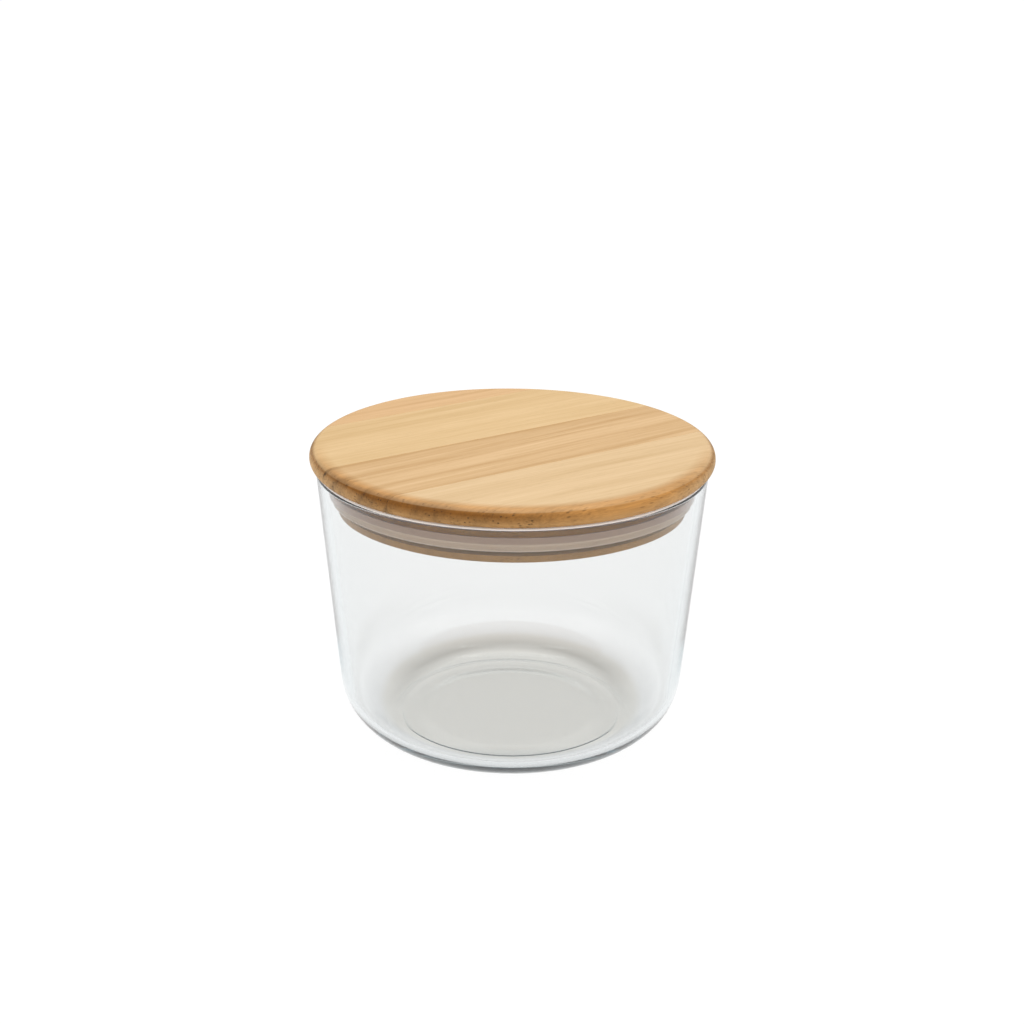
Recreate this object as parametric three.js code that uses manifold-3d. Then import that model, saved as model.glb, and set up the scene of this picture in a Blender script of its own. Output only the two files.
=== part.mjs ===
// A low glass canister with a push-in wooden lid, sealed by a silicone ring.
// Millimetres, +Z up. The origin is on the jar's axis, on the surface that its foot stands on.

import * as THREE from "three";
import { mergeVertices } from "three/addons/utils/BufferGeometryUtils.js";
import Module from "manifold-3d";

// ---- Driving dimensions ----

const AROUND = 72; // flats around every turned shape
const GAP = 0.3; // left between pieces that touch on the real object

// Glass jar: a leaning wall, a big round corner and a narrow foot ring around a shallow recess.
const FOOT_OUTER_R = 35.2;
const FOOT_INNER_R = 31.7;
const RECESS_R = 29.8; // where the recess under the jar becomes flat
const RECESS_DEPTH = 0.9;
const CORNER_R = 19;
const WALL_LEAN = THREE.MathUtils.degToRad(5.1); // outwards, going up
const RIM_Z = 86.5;
const RIM_WALL = 2.4; // wall thickness at the mouth, which is rounded over
const FLOOR_Z = 4.2;
const INNER_CORNER_R = 15.2;
const INNER_LEAN = THREE.MathUtils.degToRad(5.6); // the wall thickens downwards

// Lid: one blank, 18 mm thick, glued up from boards and turned to a plate with a neck under it.
const PLATE_R = 62;
const PLATE_Z = RIM_Z + GAP; // underside of the plate, over the rim
const PLATE_THICKNESS = 5.7;
const PLATE_TOP_ROUND = 2.9; // with the round below it, this leaves almost no flat on the edge
const PLATE_BOTTOM_ROUND = 2.7;
const NECK_R = 54;
const NECK_BOTTOM_Z = 74.5;
const NECK_EDGE_ROUND = 0.5;
const GROOVE_R = 50.4;
const GROOVE_LOW_Z = 77.1;
const GROOVE_HIGH_Z = 81.7;

// Glue joints: parallel cuts, turned about the axis. The boards between them differ in width.
const GRAIN_ANGLE = THREE.MathUtils.degToRad(34.5);
const JOINTS = [-22.4, 8.5, 44.7]; // distance of each joint from the axis, front to back
const BOARD_COUNT = JOINTS.length + 1;

// Silicone ring: a band in the groove, with a thick upper fin and a thin lower one. Pushing the
// lid in bends the upper fin up, so its tip stands higher than the groove.
const BAND_R = 54.9;
const UPPER_FIN_R = 56.8;
const LOWER_FIN_R = 56.2;
const UPPER_FIN_Z = 81; // underside of the upper fin's tip
const UPPER_FIN_SLOPE = 0.6; // drop from there to where the fin leaves the band
const UPPER_FIN_TOP_Z = 82.6;
const UPPER_FIN_TIP = 0.5; // width of the tip's flat top, before it falls back to the band
const LOWER_FIN_Z = 78.3; // middle of the lower fin's tip
const LOWER_FIN_TIP = 0.6; // thickness of that tip
const LOWER_FIN_RISE = 0.9; // from its middle up to where the fin leaves the band

// ---- Shapes ----

// Points on an arc of a profile, from one angle to another in degrees.
function arc(radius, z, size, fromDegrees, toDegrees, steps) {
  const points = [];
  for (let i = 0; i <= steps; i++) {
    const angle = THREE.MathUtils.degToRad(fromDegrees + ((toDegrees - fromDegrees) * i) / steps);
    points.push(new THREE.Vector2(radius + size * Math.cos(angle), z + size * Math.sin(angle)));
  }
  return points;
}

const at = (radius, z) => new THREE.Vector2(radius, z);

// A profile turned about +Z. It runs from the axis, out along the bottom and up the outside.
function turned(profile) {
  const geometry = new THREE.LatheGeometry(profile, AROUND);
  geometry.rotateX(Math.PI / 2);
  return geometry;
}

// Where a corner's round ends on a wall that leans out and passes through (wallR, wallZ).
function cornerCentre(size, z, lean, wallR, wallZ) {
  const tangentZ = z - size * Math.sin(lean);
  return wallR - Math.tan(lean) * (wallZ - tangentZ) - size * Math.cos(lean);
}

function jarProfile() {
  const leanDegrees = THREE.MathUtils.radToDeg(WALL_LEAN);
  const innerLeanDegrees = THREE.MathUtils.radToDeg(INNER_LEAN);
  const rimRound = RIM_WALL / 2;
  const rimRoundZ = RIM_Z - rimRound;
  const outerTangentZ = CORNER_R * (1 - Math.sin(WALL_LEAN));
  const outerTangentR = FOOT_OUTER_R + CORNER_R * Math.cos(WALL_LEAN);
  const mouthOuterR = outerTangentR + Math.tan(WALL_LEAN) * (rimRoundZ - outerTangentZ);
  const mouthInnerR = mouthOuterR - RIM_WALL;
  const innerCornerZ = FLOOR_Z + INNER_CORNER_R;
  const innerCornerR = cornerCentre(INNER_CORNER_R, innerCornerZ, INNER_LEAN, mouthInnerR, rimRoundZ);
  return [
    at(0, RECESS_DEPTH),
    at(RECESS_R, RECESS_DEPTH),
    at(FOOT_INNER_R, 0),
    ...arc(FOOT_OUTER_R, CORNER_R, CORNER_R, -90, -leanDegrees, 12),
    ...arc(mouthOuterR - rimRound, rimRoundZ, rimRound, -leanDegrees, 180, 8),
    ...arc(innerCornerR, innerCornerZ, INNER_CORNER_R, -innerLeanDegrees, -90, 12),
    at(0, FLOOR_Z),
  ];
}

function lidProfile() {
  const plateTopZ = PLATE_Z + PLATE_THICKNESS;
  return [
    at(0, NECK_BOTTOM_Z),
    ...arc(NECK_R - NECK_EDGE_ROUND, NECK_BOTTOM_Z + NECK_EDGE_ROUND, NECK_EDGE_ROUND, -90, 0, 3),
    at(NECK_R, GROOVE_LOW_Z),
    at(GROOVE_R, GROOVE_LOW_Z),
    at(GROOVE_R, GROOVE_HIGH_Z),
    at(NECK_R, GROOVE_HIGH_Z),
    at(NECK_R, PLATE_Z),
    ...arc(PLATE_R - PLATE_BOTTOM_ROUND, PLATE_Z + PLATE_BOTTOM_ROUND, PLATE_BOTTOM_ROUND, -90, 0, 5),
    ...arc(PLATE_R - PLATE_TOP_ROUND, plateTopZ - PLATE_TOP_ROUND, PLATE_TOP_ROUND, 0, 90, 5),
    at(0, plateTopZ),
  ];
}

// The ring's section closes on itself: up the fins on the outside, down the groove's wall inside.
function ringProfile() {
  const insideR = GROOVE_R + GAP;
  const lowZ = GROOVE_LOW_Z + GAP;
  const highZ = GROOVE_HIGH_Z - GAP;
  return [
    at(insideR, lowZ),
    at(BAND_R, lowZ),
    at(LOWER_FIN_R, LOWER_FIN_Z - LOWER_FIN_TIP / 2),
    at(LOWER_FIN_R, LOWER_FIN_Z + LOWER_FIN_TIP / 2),
    at(BAND_R, LOWER_FIN_Z + LOWER_FIN_RISE),
    at(BAND_R, UPPER_FIN_Z - UPPER_FIN_SLOPE),
    at(UPPER_FIN_R, UPPER_FIN_Z),
    at(UPPER_FIN_R, UPPER_FIN_TOP_Z),
    at(UPPER_FIN_R - UPPER_FIN_TIP, UPPER_FIN_TOP_Z),
    at(BAND_R, highZ),
    at(insideR, highZ),
    at(insideR, lowZ),
  ];
}

// ---- Cutting the lid's blank into its boards ----

const manifold = await Module();
manifold.setup();

function toSolid(geometry) {
  const bare = geometry.clone();
  bare.deleteAttribute("normal");
  bare.deleteAttribute("uv");
  const merged = mergeVertices(bare, 1e-3);
  const corners = merged.index.array;
  const triangles = [];
  for (let i = 0; i < corners.length; i += 3) {
    const [a, b, c] = corners.slice(i, i + 3);
    // The turning leaves triangles of no width at the axis, which a solid can't hold.
    if (a !== b && b !== c && c !== a) triangles.push(a, b, c);
  }
  return new manifold.Manifold(
    new manifold.Mesh({
      numProp: 3,
      vertProperties: merged.attributes.position.array,
      triVerts: new Uint32Array(triangles),
    }),
  );
}

function toGeometry(solid) {
  const mesh = solid.getMesh();
  const geometry = new THREE.BufferGeometry();
  geometry.setAttribute("position", new THREE.BufferAttribute(mesh.vertProperties, 3));
  geometry.setIndex(new THREE.BufferAttribute(mesh.triVerts, 1));
  geometry.computeVertexNormals();
  return geometry;
}

// The slab of space that one board takes up, counting from the front.
function boardSlab(number) {
  const beyond = 2 * PLATE_R;
  const from = number === 0 ? -beyond : JOINTS[number - 1] + GAP / 2;
  const to = number === BOARD_COUNT - 1 ? beyond : JOINTS[number] - GAP / 2;
  const slab = new THREE.BoxGeometry(2 * beyond, to - from, 2 * beyond);
  slab.translate(0, (from + to) / 2, 0);
  slab.rotateZ(GRAIN_ANGLE);
  return slab;
}

// ---- Finishes ----

const glass = new THREE.MeshStandardMaterial({
  color: 0xe9efee,
  roughness: 0.05,
  metalness: 0,
  transparent: true,
  opacity: 0.35,
});
const silicone = new THREE.MeshStandardMaterial({ color: 0xcfccc4, roughness: 0.5, metalness: 0 });
const boardColours = [0xe6bd86, 0xd9a868, 0xe0b274, 0xd8a567];

// ---- The canister ----

const canister = new THREE.Group();

function addMesh(name, geometry, material) {
  const mesh = new THREE.Mesh(geometry, material);
  mesh.name = name;
  canister.add(mesh);
}

addMesh("glass_jar", turned(jarProfile()), glass);

const lidBlank = toSolid(turned(lidProfile()));
for (let number = 0; number < BOARD_COUNT; number++) {
  const board = lidBlank.intersect(toSolid(boardSlab(number)));
  const wood = new THREE.MeshStandardMaterial({
    color: boardColours[number],
    roughness: 0.6,
    metalness: 0,
  });
  addMesh(`lid_board_${number + 1}`, toGeometry(board), wood);
}

addMesh("seal_ring", turned(ringProfile()), silicone);

export default canister;
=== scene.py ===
# %% [markdown]
# # A glass canister with a turned wooden lid
#
# The object is a low glass jar, a lid turned from one glued-up wooden blank, and a soft silicone
# ring in a groove round the lid's neck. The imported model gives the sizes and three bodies: the
# jar stands still, the ring lifts out with the lid, and the lid can turn on its ring. This file
# makes the fine surfaces and the finishes around that model, one piece at a time.

import math

import bmesh
import bpy
from mathutils import Matrix, Vector


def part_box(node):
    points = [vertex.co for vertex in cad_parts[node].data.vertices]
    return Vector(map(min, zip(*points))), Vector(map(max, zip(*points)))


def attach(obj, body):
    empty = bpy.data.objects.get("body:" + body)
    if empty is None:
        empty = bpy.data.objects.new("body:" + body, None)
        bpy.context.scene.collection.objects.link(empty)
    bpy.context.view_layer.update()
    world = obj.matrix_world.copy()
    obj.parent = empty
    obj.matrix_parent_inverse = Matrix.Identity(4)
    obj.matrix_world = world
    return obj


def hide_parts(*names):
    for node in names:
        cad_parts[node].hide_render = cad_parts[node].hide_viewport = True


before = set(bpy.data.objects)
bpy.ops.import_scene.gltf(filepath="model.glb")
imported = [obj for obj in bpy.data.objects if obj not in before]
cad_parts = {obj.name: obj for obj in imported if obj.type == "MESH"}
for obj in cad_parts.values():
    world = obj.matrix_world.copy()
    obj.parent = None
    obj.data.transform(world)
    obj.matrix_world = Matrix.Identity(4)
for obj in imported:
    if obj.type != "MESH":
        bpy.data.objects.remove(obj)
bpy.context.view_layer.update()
print("nodes:", sorted(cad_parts))

# %% [markdown]
# ## Units and measured places
#
# Blender works in metres, and a jar is easier to think about in millimetres. So every length
# here is written in millimetres and passed through `mm`. The rim's height and the lid's edge
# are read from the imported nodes, so that the pieces made here can't drift away from them.

# %% Millimetres, and the heights that everything hangs from
def mm(length):
    return length / 1000


jar_low, jar_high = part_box("glass_jar")
ring_low, ring_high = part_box("seal_ring")
BOARDS = ["lid_board_1", "lid_board_2", "lid_board_3", "lid_board_4"]
lid_low = Vector(map(min, *(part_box(name)[0] for name in BOARDS)))
lid_high = Vector(map(max, *(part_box(name)[1] for name in BOARDS)))
LID_RADIUS = lid_high.x
LID_TOP = lid_high.z
NECK_BOTTOM = lid_low.z
RIM_TOP = jar_high.z
print(f"rim {RIM_TOP * 1000:.1f} mm high, lid {LID_RADIUS * 2000:.1f} mm across")

# %% [markdown]
# ## The camera
#
# The canister is seen from a little above, as on a kitchen shelf at arm's length. The camera
# looks at a point on the jar's axis, so its place is only a distance and an angle from there.
# It is tipped half a degree sideways, as a hand-levelled camera is.

# %% Camera
AIM = Vector((0, 0, mm(69.8)))
CAMERA_DISTANCE = 0.558
CAMERA_ELEVATION = math.radians(19.96)
CAMERA_TIP = math.radians(0.48)
FOCAL_LENGTH = 63.2

camera_data = bpy.data.cameras.new("camera")
camera_data.lens = FOCAL_LENGTH
camera = bpy.data.objects.new("camera", camera_data)
bpy.context.scene.collection.objects.link(camera)
towards_camera = Vector((0, -math.cos(CAMERA_ELEVATION), math.sin(CAMERA_ELEVATION)))
camera.location = AIM + towards_camera * CAMERA_DISTANCE
level = (-towards_camera).to_track_quat("-Z", "Y")
camera.rotation_mode = "QUATERNION"
camera.rotation_quaternion = level @ Matrix.Rotation(CAMERA_TIP, 3, "Z").to_quaternion()
bpy.context.scene.camera = camera
print("camera at", [round(x, 3) for x in camera.location])

# %% [markdown]
# ## Turned shapes
#
# Jar, lid and ring are all round, and all can be made from an outline turned about the axis.
# Blender's Screw modifier could do that. A short helper in bmesh is used instead, because it
# puts a single point where the outline meets the axis, so that the floor of the jar is clean.
# An outline is a list of (radius, height) points, going out along the bottom and up the outside.

# %% Helper: points along an arc of an outline
def arc(radius, height, size, from_degrees, to_degrees, steps):
    points = []
    for i in range(steps + 1):
        angle = math.radians(from_degrees + (to_degrees - from_degrees) * i / steps)
        points.append((radius + size * math.cos(angle), height + size * math.sin(angle)))
    return points


# %% Helper: turn an outline into a closed mesh
AROUND = 256
ON_THE_AXIS = 1e-7


def turned_mesh(name, outline, closed_outline=False):
    mesh = bmesh.new()
    rings = []
    for radius, height in outline:
        if radius < ON_THE_AXIS:
            rings.append([mesh.verts.new((0, 0, height))])
            continue
        turns = (2 * math.pi * i / AROUND for i in range(AROUND))
        rings.append([mesh.verts.new((radius * math.cos(a), radius * math.sin(a), height))
                      for a in turns])
    pairs = list(zip(rings, rings[1:]))
    if closed_outline:
        pairs.append((rings[-1], rings[0]))
    for lower, upper in pairs:
        for i in range(AROUND):
            j = (i + 1) % AROUND
            corners = [lower[i % len(lower)], lower[j % len(lower)],
                       upper[j % len(upper)], upper[i % len(upper)]]
            mesh.faces.new(list(dict.fromkeys(corners)))
    bmesh.ops.recalc_face_normals(mesh, faces=mesh.faces)
    return finish_mesh(name, mesh)


# %% Helper: make an object with smooth shading from a bmesh
SHARP_ANGLE = math.radians(35)


def finish_mesh(name, mesh):
    data = bpy.data.meshes.new(name)
    mesh.to_mesh(data)
    mesh.free()
    data.shade_smooth()
    data.set_sharp_from_angle(angle=SHARP_ANGLE)
    piece = bpy.data.objects.new(name, data)
    bpy.context.scene.collection.objects.link(piece)
    even = piece.modifiers.new("even_shading", "WEIGHTED_NORMAL")
    even.keep_sharp = True
    print(f"{name}: {len(data.vertices)} points, {len(data.polygons)} faces")
    return piece


# %% [markdown]
# ## The glass jar
#
# A pressed glass jar has a wall that leans out so that it leaves its mould, a rounded rim, a big
# soft corner, and a floor that is thicker than the wall. It stands on a narrow ring round a
# shallow recess, so that the middle of the floor can't rock. A cylinder with bevelled edges
# would be quicker, but glass shows both of its faces at once, so here the inner outline is drawn
# with the same care as the outer one.

# %% Jar sizes
WALL_LEAN = 5.1
INNER_LEAN = 5.6
CORNER = mm(19)
INNER_CORNER = mm(13.6)
FLOOR_TOP = mm(4.2)
RIM_ROUND = mm(1.2)
FOOT_OUTER = mm(35.2)
FOOT_INNER = mm(31.7)
FOOT_SHIFT = mm(0.2)
FOOT_STEP = mm(0.35)
RECESS = mm(0.26)
RECESS_FLAT = mm(25.0)
HEEL_START = -84
print(f"glass floor {(FLOOR_TOP - RECESS) * 1000:.2f} mm thick at the middle")


# %% Outline of the jar's underside
def underside_outline():
    step = (FOOT_INNER - RECESS_FLAT) / 2
    outline = [(0, RECESS), (RECESS_FLAT * 0.5, RECESS), (RECESS_FLAT - step, RECESS)]
    for i in range(1, 8):  # a smooth step from the recess down to the foot ring
        share = i / 8
        drop = (1 + math.cos(math.pi * share)) / 2
        outline.append((RECESS_FLAT + (FOOT_INNER - RECESS_FLAT) * share, RECESS * drop))
    for i in range(0, 7):  # the ring is flat at its inner side and curls up at its outer side
        share = i / 6
        outline.append((FOOT_INNER + FOOT_SHIFT + (FOOT_OUTER - FOOT_INNER) * share,
                        FOOT_STEP * share ** 3))
    return outline


# %% Outline of the whole jar
def jar_outline():
    rim_z = RIM_TOP - RIM_ROUND
    lean, inner_lean = math.radians(WALL_LEAN), math.radians(INNER_LEAN)
    tangent_r = FOOT_OUTER + CORNER * math.cos(lean)
    tangent_z = CORNER * (1 - math.sin(lean))
    mouth = tangent_r + math.tan(lean) * (rim_z - tangent_z)
    inner_z = FLOOR_TOP + INNER_CORNER
    inner_tangent_z = inner_z - INNER_CORNER * math.sin(inner_lean)
    inner_wall = mouth - 2 * RIM_ROUND - math.tan(inner_lean) * (rim_z - inner_tangent_z)
    inner_r = inner_wall - INNER_CORNER * math.cos(inner_lean)
    outline = underside_outline()
    outline += arc(FOOT_OUTER, CORNER, CORNER, HEEL_START, -WALL_LEAN, 40)
    outline += arc(mouth - RIM_ROUND, rim_z, RIM_ROUND, -WALL_LEAN, 180, 24)
    outline += arc(inner_r, inner_z, INNER_CORNER, -INNER_LEAN, -90, 40)
    outline += [(inner_r * 0.5, FLOOR_TOP), (0, FLOOR_TOP)]
    return outline


# %% Turn the jar
jar = turned_mesh("jar_glass", jar_outline())
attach(jar, "jar")
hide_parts("glass_jar")

# %% [markdown]
# ## The lid's boards
#
# The lid is turned from one blank, and the blank is glued up from boards laid side by side. So
# the plate, the neck and its groove are one outline, and the joints run straight through them.
# The joints could be painted on one solid lid. Here the whole lid is turned first and then cut
# along them, so that each board is a piece with grain of its own. Each cut takes a hair's breadth
# off, which is how a glue line looks.

# %% Lid sizes
PLATE_BOTTOM = RIM_TOP + mm(0.25)
NECK = mm(54)
NECK_EDGE = mm(0.5)
GROOVE = mm(50.4)
GROOVE_LOW = ring_low.z - mm(0.8)
GROOVE_HIGH = mm(81.7)
TOP_ROUND = mm(2.9)
BOTTOM_ROUND = mm(2.7)
print(f"groove {(GROOVE_HIGH - GROOVE_LOW) * 1000:.1f} mm high, {(NECK - GROOVE) * 1000:.1f} mm deep")


# %% Outline of the lid
def lid_outline():
    outline = [(0, NECK_BOTTOM), (NECK * 0.6, NECK_BOTTOM)]
    outline += arc(NECK - NECK_EDGE, NECK_BOTTOM + NECK_EDGE, NECK_EDGE, -90, 0, 6)
    outline += [(NECK, GROOVE_LOW), (GROOVE, GROOVE_LOW), (GROOVE, GROOVE_HIGH)]
    outline += [(NECK, GROOVE_HIGH), (NECK, PLATE_BOTTOM)]
    outline += arc(LID_RADIUS - BOTTOM_ROUND, PLATE_BOTTOM + BOTTOM_ROUND, BOTTOM_ROUND, -90, 0, 12)
    outline += arc(LID_RADIUS - TOP_ROUND, LID_TOP - TOP_ROUND, TOP_ROUND, 0, 90, 10)
    outline += [(LID_RADIUS * 0.6, LID_TOP), (0, LID_TOP)]
    return outline


# %% Cut one board out of the turned lid
GRAIN_ANGLE = math.radians(34.5)
JOINTS = [mm(-22.4), mm(8.5), mm(44.7)]
GLUE_LINE = mm(0.06)
ALONG = Vector((math.cos(GRAIN_ANGLE), math.sin(GRAIN_ANGLE), 0))
ACROSS = Vector((-math.sin(GRAIN_ANGLE), math.cos(GRAIN_ANGLE), 0))


def cut_board(whole, number, name):
    mesh = bmesh.new()
    mesh.from_mesh(whole.data)
    cuts = []
    if number > 0:
        cuts.append((JOINTS[number - 1] + GLUE_LINE / 2, -ACROSS))
    if number < len(JOINTS):
        cuts.append((JOINTS[number] - GLUE_LINE / 2, ACROSS))
    for distance, outwards in cuts:
        everything = mesh.verts[:] + mesh.edges[:] + mesh.faces[:]
        cut = bmesh.ops.bisect_plane(mesh, geom=everything, plane_co=ACROSS * distance,
                                     plane_no=outwards, clear_outer=True)
        rim = [e for e in cut["geom_cut"] if isinstance(e, bmesh.types.BMEdge)]
        bmesh.ops.contextual_create(mesh, geom=rim)
    bmesh.ops.recalc_face_normals(mesh, faces=mesh.faces)
    return finish_mesh(name, mesh)


# %% Turn the blank and cut it into boards
blank = turned_mesh("lid_blank", lid_outline())
boards = [cut_board(blank, number, f"{name}_turned") for number, name in enumerate(BOARDS)]
bpy.data.objects.remove(blank)
for board, node in zip(boards, BOARDS):
    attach(board, "lid")
    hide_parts(node)

# %% [markdown]
# ## The silicone ring
#
# The ring sits in the groove and seals with two fins: a thick upper one that meets the glass,
# and a thin one below it. The foot of its band is set back, so that a shadow line shows between
# ring and neck. Two or three plain tori could stand in for it, but they would meet in creases.
# So its section is one outline that closes on itself, and as moulded silicone has no sharp
# corners, the corners of the section are rounded with small arcs.

# %% Ring sizes
RING_INNER = GROOVE + mm(0.3)
BAND = mm(54.9)
BAND_FOOT = mm(52.2)
BAND_TOP = GROOVE_HIGH - mm(0.2)
UPPER_FIN = ring_high.x
UPPER_FIN_LOW = mm(80.9)
UPPER_FIN_HIGH = ring_high.z + mm(0.5)
LOWER_FIN = mm(55.8)
LOWER_FIN_HEIGHT = mm(78.7)
SOFT_CORNER = mm(0.3)
SOFT_TIP = mm(0.25)
FILLET = mm(0.15)
print(f"fins reach {UPPER_FIN * 1000:.1f} and {LOWER_FIN * 1000:.1f} mm from the axis")


# %% Outline of the ring's section
def ring_outline():
    low, fin_low, fin_high = ring_low.z, UPPER_FIN_LOW, UPPER_FIN_HIGH
    soft, tip, middle = SOFT_CORNER, SOFT_TIP, LOWER_FIN_HEIGHT
    outline = arc(RING_INNER + soft, low + soft, soft, 180, 270, 4)
    outline += arc(BAND_FOOT - soft, low + soft, soft, -90, 0, 4)
    outline += [(BAND_FOOT, middle - mm(0.6)), (BAND, middle - mm(0.35))]
    outline += arc(LOWER_FIN - soft, middle, soft, -70, 70, 6)
    outline += [(BAND + FILLET, middle + mm(0.8)), (BAND, middle + mm(1.1))]
    outline += [(BAND, fin_low - mm(0.9)), (BAND + FILLET, fin_low - mm(0.5))]
    outline += arc(UPPER_FIN - soft, fin_low + soft, soft, -60, 0, 5)
    outline += arc(UPPER_FIN - tip, fin_high - tip, tip, 0, 130, 6)
    outline += [(BAND + mm(0.2), BAND_TOP + mm(0.1)), (BAND - mm(0.3), BAND_TOP)]
    outline += arc(RING_INNER + soft, BAND_TOP - soft, soft, 90, 180, 4)
    return outline


# %% Turn the ring
ring = turned_mesh("seal_ring_moulded", ring_outline(), closed_outline=True)
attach(ring, "seal")
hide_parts("seal_ring")

# %% [markdown]
# ## Helpers for materials
#
# A material is a tree of nodes. These helpers add one node each and give back its output, so
# that a finish reads from top to bottom like a recipe.

# %% Helpers: start a material, and put it on a piece
def new_material(name):
    material = bpy.data.materials.new(name)
    material.use_nodes = True
    tree = material.node_tree
    shader = tree.nodes["Principled BSDF"]
    return material, tree, shader


def give(piece, material):
    piece.data.materials.clear()
    piece.data.materials.append(material)
    print(f"{piece.name} is finished in {material.name}")


# %% Helpers: sums, and a range turned into another range
def plug(tree, value, socket):
    if isinstance(value, bpy.types.NodeSocket):
        tree.links.new(value, socket)
    else:
        socket.default_value = value


def calculate(tree, operation, first, second=0.0):
    node = tree.nodes.new("ShaderNodeMath")
    node.operation = operation
    plug(tree, first, node.inputs[0])
    plug(tree, second, node.inputs[1])
    return node.outputs[0]


def multiply(tree, first, *others):
    for other in others:
        first = calculate(tree, "MULTIPLY", first, other)
    return first


def add(tree, first, *others):
    for other in others:
        first = calculate(tree, "ADD", first, other)
    return first


def between(tree, value, low, high, to_low=0.0, to_high=1.0):
    node = tree.nodes.new("ShaderNodeMapRange")
    plug(tree, value, node.inputs["Value"])
    node.inputs["From Min"].default_value = low
    node.inputs["From Max"].default_value = high
    node.inputs["To Min"].default_value = to_low
    node.inputs["To Max"].default_value = to_high
    return node.outputs[0]


# %% Helpers: places on a piece
def stretch(tree, vector, scale, move=(0, 0, 0), turn=0.0):
    node = tree.nodes.new("ShaderNodeMapping")
    tree.links.new(vector, node.inputs["Vector"])
    node.inputs["Scale"].default_value = scale
    node.inputs["Location"].default_value = move
    node.inputs["Rotation"].default_value = (0, 0, turn)
    return node.outputs[0]


def split(tree, vector):
    node = tree.nodes.new("ShaderNodeSeparateXYZ")
    tree.links.new(vector, node.inputs[0])
    return node.outputs


def reach_of(tree, vector):
    node = tree.nodes.new("ShaderNodeVectorMath")
    node.operation = "LENGTH"
    tree.links.new(vector, node.inputs[0])
    return node.outputs["Value"]


def own_place(tree):
    return tree.nodes.new("ShaderNodeTexCoord").outputs["Object"]


# %% Helpers: patterns and colours
def noise(tree, vector, scale, detail=2.0, roughness=0.5):
    node = tree.nodes.new("ShaderNodeTexNoise")
    tree.links.new(vector, node.inputs["Vector"])
    node.inputs["Scale"].default_value = scale
    node.inputs["Detail"].default_value = detail
    node.inputs["Roughness"].default_value = roughness
    return node.outputs["Fac"]


def mix_colours(tree, factor, first, second, way="MIX"):
    node = tree.nodes.new("ShaderNodeMix")
    node.data_type = "RGBA"
    node.blend_type = way
    plug(tree, factor, node.inputs[0])
    plug(tree, first, node.inputs[6])
    plug(tree, second, node.inputs[7])
    return node.outputs[2]


def shade(tree, colour, amount):
    return mix_colours(tree, 1.0, colour, amount, "MULTIPLY")


# %% [markdown]
# ## Clear glass
#
# Glass needs no pattern: its look comes from the way it bends and mirrors what is around it.
# Only the crown of the rim is different. It is ground, so it is a fine matt white, and two
# mixed materials could show that. One material whose roughness and clearness change with height
# is simpler and leaves no seam. The slight green-blue of a thick edge comes from light that
# travels a long way inside the glass, so it is given as absorption inside the body and not as a
# colour on its surface.

# %% Glass
GROUND_FROM = RIM_TOP - mm(0.6)
GROUND_TO = RIM_TOP - mm(0.45)
MATT_CLEARNESS = 0.05
MATT_ROUGHNESS = 0.5

glass, tree, shader = new_material("clear_glass")
shader.inputs["Base Color"].default_value = (0.98, 0.967, 0.959, 1)
shader.inputs["IOR"].default_value = 1.5
ground = between(tree, split(tree, own_place(tree))[2], GROUND_FROM, GROUND_TO)
clearness = between(tree, ground, 0, 1, 1.0, MATT_CLEARNESS)
plug(tree, clearness, shader.inputs["Transmission Weight"])
plug(tree, between(tree, ground, 0, 1, 0.0, MATT_ROUGHNESS), shader.inputs["Roughness"])
tint = tree.nodes.new("ShaderNodeVolumeAbsorption")
tint.inputs["Color"].default_value = (0, 0.25, 0.33, 1)
tint.inputs["Density"].default_value = 26
tree.links.new(tint.outputs[0], tree.nodes["Material Output"].inputs["Volume"])
give(jar, glass)

# %% [markdown]
# ## Silicone
#
# Silicone is milky: light goes in, scatters and comes out soft. The upper fin is painted browner
# than the band below it, and that colour is painted shade and a painted brown reflection of the
# wood just above. Real scattering inside the ring is slow to work out behind glass. A little
# transmission gives the same milky look, and the colour changes with height for the painted shade.

# %% Silicone
BAND_SILICONE = (0.90, 0.73, 0.57, 1)
UPPER_FIN_PAINTED_SHADE = (0.58, 0.395, 0.29, 1)

silicone, tree, shader = new_material("milky_silicone")
# Painted shade and reflection: the ring is painted browner from the upper fin up, under the wooden
# plate.
upper_fin_shade = between(tree, split(tree, own_place(tree))[2], mm(80.6), mm(81.3))
milky = mix_colours(tree, upper_fin_shade, BAND_SILICONE, UPPER_FIN_PAINTED_SHADE)
plug(tree, milky, shader.inputs["Base Color"])
shader.inputs["Transmission Weight"].default_value = 0.15
shader.inputs["Roughness"].default_value = 0.4
shader.inputs["IOR"].default_value = 1.41
give(ring, silicone)

# %% [markdown]
# ## Wood: fibres and layers
#
# Wood is a bundle of long fibres, laid down in yearly layers. A flat picture wrapped round the
# lid would slide over its edge. So the pattern is worked out in three dimensions, stretched a
# long way along the grain, and each surface shows the cut that it makes through it: long streaks
# on top, and dots and slanting layers at the board ends. All lengths in it are in millimetres.

# %% Wood: where each point lies along the fibres and across the yearly layers, which lean
LAYER_LEAN = 0.75
WANDER = 1.6


def grain_places(tree, move, turn):
    grain = stretch(tree, own_place(tree), (1000, 1000, 1000), turn=-turn)
    shifted = stretch(tree, grain, (1, 1, 1), move)
    wander = noise(tree, stretch(tree, shifted, (0.012, 0.03, 0.03)), 1.0, 1.0)
    wander = between(tree, wander, 0.3, 0.7, -WANDER, WANDER)
    along, across, height = split(tree, grain)
    depth = calculate(tree, "SUBTRACT", height, LID_TOP * 1000)
    layers = add(tree, across, multiply(tree, depth, LAYER_LEAN), wander)
    return shifted, layers, height


# %% Wood: a dark late-wood line at one place in the layers
def layer_line(tree, layers, place, width):
    distance = calculate(tree, "ABSOLUTE", calculate(tree, "SUBTRACT", layers, place))
    return between(tree, distance, width, 0.0)


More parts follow.
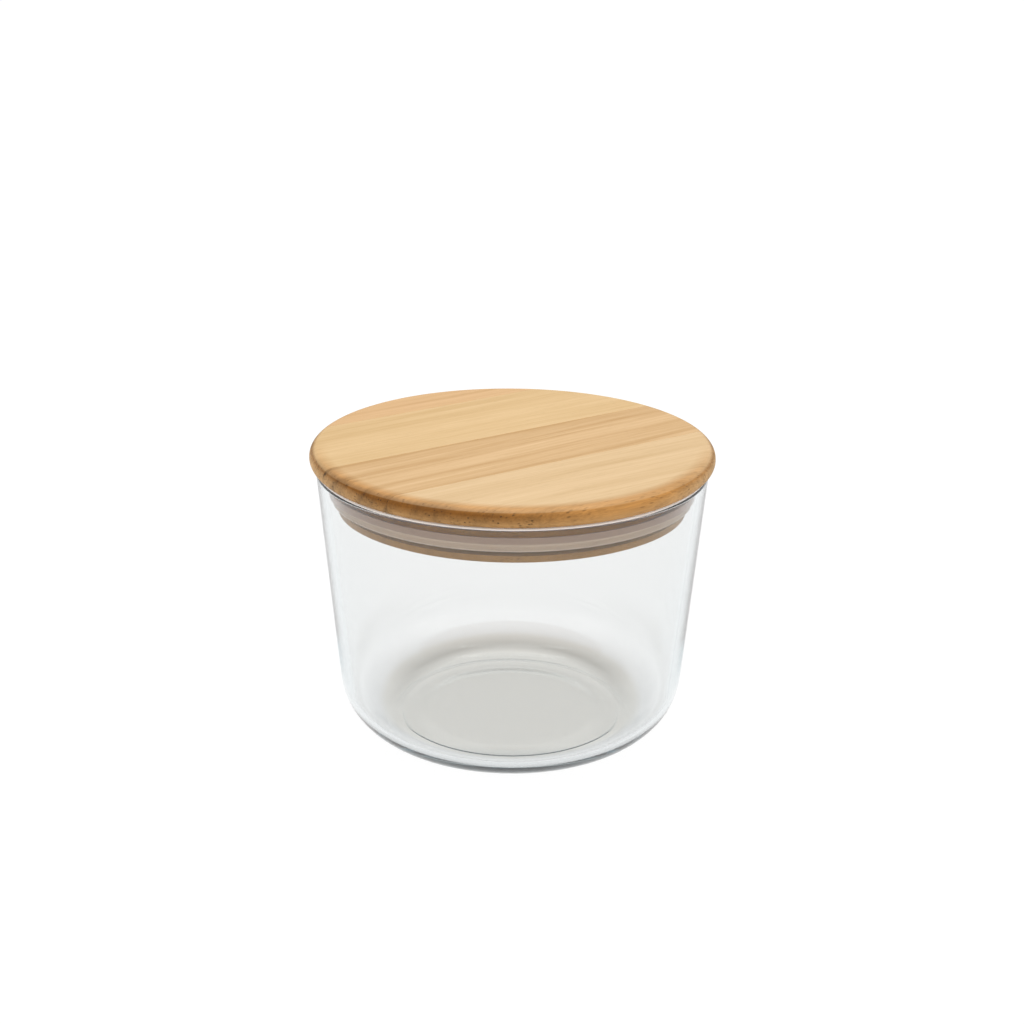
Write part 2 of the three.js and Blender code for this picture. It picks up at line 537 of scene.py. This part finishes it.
# %% Wood: soft bands, fine streaks and single fibres, less the dark lines
def wood_tone(tree, shifted, layers, lines):
    bands = noise(tree, stretch(tree, shifted, (0.006, 0.14, 0.1)), 1.0, 2.0)
    streaks = noise(tree, stretch(tree, shifted, (0.02, 0.9, 0.7)), 1.0, 3.0, 0.6)
    fibres = noise(tree, stretch(tree, shifted, (0.07, 2.6, 2.6)), 1.0, 2.0, 0.65)
    tone = multiply(tree, between(tree, bands, 0.32, 0.68), 0.4)
    tone = add(tree, tone, between(tree, streaks, 0.3, 0.7, 0.0, 0.34))
    tone = add(tree, tone, between(tree, fibres, 0.3, 0.7, 0.0, 0.36))
    for where, width, strength in lines:
        line = multiply(tree, layer_line(tree, layers, where, width), strength)
        tone = calculate(tree, "SUBTRACT", tone, line)
    return tone, streaks, fibres


# %% Wood: pores are thin tubes along the fibres, dots on a board's end and dashes on its face
def pore_dots(tree, shifted):
    pores = tree.nodes.new("ShaderNodeTexVoronoi")
    tree.links.new(stretch(tree, shifted, (0.25, 1.15, 1.15)), pores.inputs["Vector"])
    pores.inputs["Scale"].default_value = 1.0
    dots = between(tree, pores.outputs["Distance"], 0.32, 0.12)
    cloud = noise(tree, stretch(tree, shifted, (0.05, 0.25, 0.25)), 1.0, 1.0)
    return multiply(tree, dots, between(tree, cloud, 0.4, 0.6, 0.25, 1.0))


# %% [markdown]
# ## Wood: the oiled edge and the neck
#
# A board's end drinks more oil than its face does, so the edge is darker and browner where it
# cuts across the fibres. Painted shade darkens the top a little way in at the front, a painted
# sheen makes the two flanks pale, painted light from the floor makes the underside of the plate
# lighter, and the neck is lighter, painted lighter still high up under the plate, where it lies
# in shade. Painting these marks by hand would tie them to one mesh. Each is worked out from the
# way the surface faces and from its distance from the axis, so it stays right if the lid's shape
# changes.

# %% Wood: tones of the edge and the neck, some of them painted light
OILED_END = (0.145, 0.052, 0.003, 1)
OILED_SIDE = (0.37, 0.175, 0.045, 1)
UNDERSIDE_PAINTED_LIGHT = (0.34, 0.185, 0.065, 1)
FLANK_PAINTED_SHEEN = (0.55, 0.34, 0.15, 1)
NECK_TOP_PAINTED_LIGHT = (0.76, 0.42, 0.11, 1)
NECK_LIP = (0.49, 0.265, 0.085, 1)


# %% Wood: how far a surface cuts across the fibres
def end_grain_share(tree, normal):
    along = tree.nodes.new("ShaderNodeVectorMath")
    along.operation = "DOT_PRODUCT"
    tree.links.new(normal, along.inputs[0])
    along.inputs[1].default_value = ALONG
    return between(tree, calculate(tree, "ABSOLUTE", along.outputs["Value"]), 0.15, 0.6)


# %% Wood: how far a surface belongs to the edge, by turning down or by painted shade at the front of the top
FRONT_SHADE_FROM = 56.2
FRONT_SHADE_TO = 59.6
FRONT_SHADE_REACH = mm(35)


def edge_or_front_shade(tree, normal, reach):
    edge = between(tree, split(tree, normal)[2], 0.98, 0.66)
    front = between(tree, split(tree, own_place(tree))[1], 0, -FRONT_SHADE_REACH, 0.0, 0.75)
    # Painted shade: the top is darkened a little way in from the rim at the front.
    front_shade = multiply(tree, between(tree, reach, FRONT_SHADE_FROM, FRONT_SHADE_TO), front)
    return calculate(tree, "MAXIMUM", edge, front_shade)


# %% Wood: colours of the edge and of the neck, with painted sheen and painted light
def edge_colour(tree, normal, end_grain, tone):
    sideways, _, upwards = split(tree, normal)
    # Painted light: the edge is painted paler where it faces down, as light from the floor would make
    # it.
    underside_light = multiply(tree, between(tree, upwards, 0.4, -0.4), 0.8)
    # Painted sheen: the edge is painted paler on the two flanks, where it faces sideways.
    flank_sheen = between(tree, calculate(tree, "ABSOLUTE", sideways), 0.6, 0.97, 0.0, 0.75)
    colour = mix_colours(tree, end_grain, OILED_SIDE, OILED_END)
    colour = mix_colours(tree, underside_light, colour, UNDERSIDE_PAINTED_LIGHT)
    colour = mix_colours(tree, flank_sheen, colour, FLANK_PAINTED_SHEEN)
    return shade(tree, colour, between(tree, tone, -0.35, 0.8, 0.3, 1.3))


def neck_colour(tree, height, tone):
    # Painted light: the neck is painted lighter high up, under the plate, where it lies in shade.
    colour = mix_colours(tree, between(tree, height, 79, 81), NECK_LIP, NECK_TOP_PAINTED_LIGHT)
    return shade(tree, colour, between(tree, tone, 0, 1, 0.8, 1.1))


# %% Wood: fine relief, with fibres standing up and pores sunk in
RELIEF = mm(0.05)


def add_relief(tree, shader, fibres, dots):
    bump = tree.nodes.new("ShaderNodeBump")
    bump.inputs["Strength"].default_value = 0.35
    bump.inputs["Distance"].default_value = RELIEF
    height = calculate(tree, "SUBTRACT", fibres, multiply(tree, dots, 0.6))
    tree.links.new(height, bump.inputs["Height"])
    tree.links.new(bump.outputs[0], shader.inputs["Normal"])


# %% Wood: one board, put together from the parts above
PORES_ON_FACE = 0.07
PLATE_FROM = 56.0
NECK_TO = 55.5


def board_wood(name, light, dark, lines, move, turn):
    material, tree, shader = new_material(name)
    normal = tree.nodes.new("ShaderNodeTexCoord").outputs["Normal"]
    reach = reach_of(tree, stretch(tree, own_place(tree), (1000, 1000, 0)))
    shifted, layers, height = grain_places(tree, move, turn)
    tone, streaks, fibres = wood_tone(tree, shifted, layers, lines)
    dots = pore_dots(tree, shifted)
    end_grain = end_grain_share(tree, normal)
    # The edge share covers the turned-down edge and also the painted shade at the front of the top.
    edge = edge_or_front_shade(tree, normal, reach)
    neck = between(tree, reach, PLATE_FROM, NECK_TO)

    face = mix_colours(tree, tone, dark, light)
    outside = edge_colour(tree, normal, end_grain, tone)
    outside = mix_colours(tree, neck, outside, neck_colour(tree, height, tone))
    colour = mix_colours(tree, edge, face, outside)
    depth = multiply(tree, edge, between(tree, end_grain, 0, 1, 0.3, 0.75))
    depth = multiply(tree, depth, between(tree, neck, 0, 1, 1.0, 0.3))
    pore = multiply(tree, dots, add(tree, depth, PORES_ON_FACE))
    colour = shade(tree, colour, calculate(tree, "SUBTRACT", 1.0, pore))
    plug(tree, colour, shader.inputs["Base Color"])
    plug(tree, between(tree, streaks, 0.3, 0.7, 0.66, 0.54), shader.inputs["Roughness"])
    shader.inputs["Specular IOR Level"].default_value = 0.22
    add_relief(tree, shader, fibres, dots)
    return material


# %% [markdown]
# ## The four boards
#
# The boards come from different planks, so each has a pale tone, a dark tone, its own dark lines
# and its own grain direction. One pattern could run through all four, but then the joints would
# hardly show. A line is (place across the grain, half its width, strength).

# %% Give each board its wood
FRONT_LINES = [(-33.5, 1.6, 0.15), (-27, 1.2, 0.1), (-40, 2.0, 0.12)]
MIDDLE_LINES = [(7.6, 1.2, 0.6), (3.6, 0.8, 0.15), (0, 2.4, 0.42), (-3.5, 1.4, 0.2),
                (-11.5, 1.8, 0.32), (-16, 1.0, 0.15), (-21.3, 1.6, 0.42)]
REAR_LINES = [(13, 1.5, 0.12), (22, 2.5, 0.1), (34, 4.0, 0.3), (41, 3.0, 0.2)]
BACK_LINES = [(47, 1.5, 0.2), (51.5, 1.6, 0.3)]
PLANKS = [
    ((0.622, 0.45, 0.264, 1), (0.492, 0.334, 0.17, 1), FRONT_LINES, 34.0),
    ((0.60, 0.41, 0.225, 1), (0.435, 0.265, 0.115, 1), MIDDLE_LINES, 36.4),
    ((0.62, 0.44, 0.24, 1), (0.49, 0.325, 0.15, 1), REAR_LINES, 34.5),
    ((0.605, 0.395, 0.21, 1), (0.475, 0.29, 0.135, 1), BACK_LINES, 34.0),
]
PLANK_SPACING = (37, 61, 23)
for number, (board, plank) in enumerate(zip(boards, PLANKS)):
    light, dark, lines, degrees = plank
    move = [number * step for step in PLANK_SPACING]
    wood = board_wood(f"wood_board_{number + 1}", light, dark, lines, move, math.radians(degrees))
    give(board, wood)

# %% [markdown]
# ## The floor
#
# The canister stands on an evenly lit white sheet, like a light table, so that there is no
# horizon. A sheet that glows takes hardly any shadow from a lamp. So it carries the jar's shadow
# in its own colour: a little darker under the jar, darker still under its front, and darkest in
# a soft crescent behind the foot. The tone stays with the sheet and doesn't turn with the camera.

# %% The sheet
FLOOR_RADIUS = 8
FLOOR_DROP = mm(0.15)

floor_mesh = bmesh.new()
bmesh.ops.create_circle(floor_mesh, cap_ends=True, segments=96, radius=FLOOR_RADIUS)
floor_data = bpy.data.meshes.new("floor")
floor_mesh.to_mesh(floor_data)
floor_mesh.free()
floor = bpy.data.objects.new("floor", floor_data)
floor.location.z = -FLOOR_DROP
bpy.context.scene.collection.objects.link(floor)


# %% Shape of the shadow: distances from a point behind the axis, in millimetres
CRESCENT_MIDDLE = 6
CRESCENT_WIDEN = 1.2
CRESCENT_OUTSIDE = (72, 45)
CRESCENT_INSIDE = (38, 46)
CRESCENT_ENDS = (50, 40)
CRESCENT_FRONT = (0, 34)


def reach_from(tree, middle_y, widen):
    return reach_of(tree, stretch(tree, own_place(tree), (1000 * widen, 1000, 0), (0, -middle_y, 0)))


def crescent(tree, sideways, back):
    reach = reach_from(tree, CRESCENT_MIDDLE, CRESCENT_WIDEN)
    fade = between(tree, reach, *CRESCENT_OUTSIDE)
    fade = multiply(tree, fade, fade)
    behind_foot = multiply(tree, fade, between(tree, reach, *CRESCENT_INSIDE))
    behind_foot = multiply(tree, behind_foot, between(tree, back, *CRESCENT_FRONT))
    return multiply(tree, behind_foot, between(tree, sideways, *CRESCENT_ENDS))


# %% The sheet's finish
WHITE = (1, 1, 1, 1)
UNDER_JAR = (0.93, 0.905, 0.855, 1)
BEHIND_FOOT = (0.50, 0.48, 0.44, 1)
UNDER_FRONT = (0.72, 0.72, 0.69, 1)
SHEET_GLOW = 0.975

paper, tree, shader = new_material("pale_floor")
across, back, up = split(tree, stretch(tree, own_place(tree), (1000, 1000, 1000)))
under_jar = between(tree, reach_from(tree, 13, 1.13), 51, 47)
under_front = multiply(tree, under_jar, between(tree, back, -26, -34))
shadow = crescent(tree, calculate(tree, "ABSOLUTE", across), back)
sheet = mix_colours(tree, under_jar, WHITE, UNDER_JAR)
sheet = mix_colours(tree, shadow, sheet, BEHIND_FOOT)
sheet = mix_colours(tree, under_front, sheet, UNDER_FRONT)
plug(tree, sheet, shader.inputs["Emission Color"])
shader.inputs["Emission Strength"].default_value = SHEET_GLOW
shader.inputs["Base Color"].default_value = (0.06, 0.06, 0.06, 1)
shader.inputs["Roughness"].default_value = 1
shader.inputs["Specular IOR Level"].default_value = 0
paper.cycles.emission_sampling = "NONE"
give(floor, paper)

# %% [markdown]
# ## The sky and the softbox
#
# Clear glass shows little but its surroundings. A plain white sky would make it vanish, and real
# studio screens would need care to keep out of view. So the sky itself carries them: a dim band
# low behind, which the jar's floor mirrors as a soft grey, more light from the front and the
# sides, and a white horizon. One big round softbox overhead lights the wood evenly.

# %% Sky
SKY = 0.7
DIM_BAND = 0.2
FRONT_LIGHT = 0.7
SIDE_LIGHT = 0.3

world = bpy.data.worlds.new("studio")
bpy.context.scene.world = world
world.use_nodes = True
sky = world.node_tree
across, back, up = split(sky, sky.nodes.new("ShaderNodeTexCoord").outputs["Generated"])
band = multiply(sky, between(sky, up, 0.53, 0.46), between(sky, up, 0.13, 0.24))
dim = multiply(sky, between(sky, back, 0.1, 0.6), band)
in_front = multiply(sky, between(sky, back, -0.1, -0.5), between(sky, up, 0.75, 0.5))
at_sides = between(sky, calculate(sky, "ABSOLUTE", across), 0.6, 0.95, 0.0, SIDE_LIGHT)
brightness = between(sky, dim, 0, 1, SKY, DIM_BAND)
brightness = add(sky, brightness, multiply(sky, in_front, FRONT_LIGHT), at_sides)
horizon = between(sky, up, 0.17, 0.02)
brightness = calculate(sky, "MAXIMUM", brightness, horizon)
sky.links.new(brightness, sky.nodes["Background"].inputs["Strength"])
sky.nodes["Background"].inputs["Color"].default_value = WHITE
print(f"sky {SKY}, dim band {DIM_BAND}")

# %% Overhead softbox
SOFTBOX_SIZE = 1.0
SOFTBOX_POWER = 8.5
SOFTBOX_PLACE = (0, 0.05, 1.1)

soft_data = bpy.data.lights.new("overhead", "AREA")
soft_data.shape = "DISK"
soft_data.size = SOFTBOX_SIZE
soft_data.energy = SOFTBOX_POWER
overhead = bpy.data.objects.new("overhead", soft_data)
overhead.location = SOFTBOX_PLACE
bpy.context.scene.collection.objects.link(overhead)
print(f"softbox {SOFTBOX_SIZE} m across, {SOFTBOX_POWER} W")

# %% [markdown]
# ## Settings
#
# Light may bounce about inside thick glass many times before it leaves, and with too few bounces
# the thick parts turn black. A film curve is kind to bright scenes, but it would turn the white
# sheet grey, so the tones are left plain.

# %% Bounces
CLEAR_BOUNCES = 24
MIRROR_BOUNCES = 16
bpy.context.scene.cycles.max_bounces = CLEAR_BOUNCES
bpy.context.scene.cycles.glossy_bounces = MIRROR_BOUNCES
bpy.context.scene.cycles.transmission_bounces = CLEAR_BOUNCES
print(f"up to {CLEAR_BOUNCES} bounces in glass, {MIRROR_BOUNCES} off mirrors")

# %% Plain tones
bpy.context.scene.view_settings.view_transform = "Standard"
print("tones:", bpy.context.scene.view_settings.view_transform)
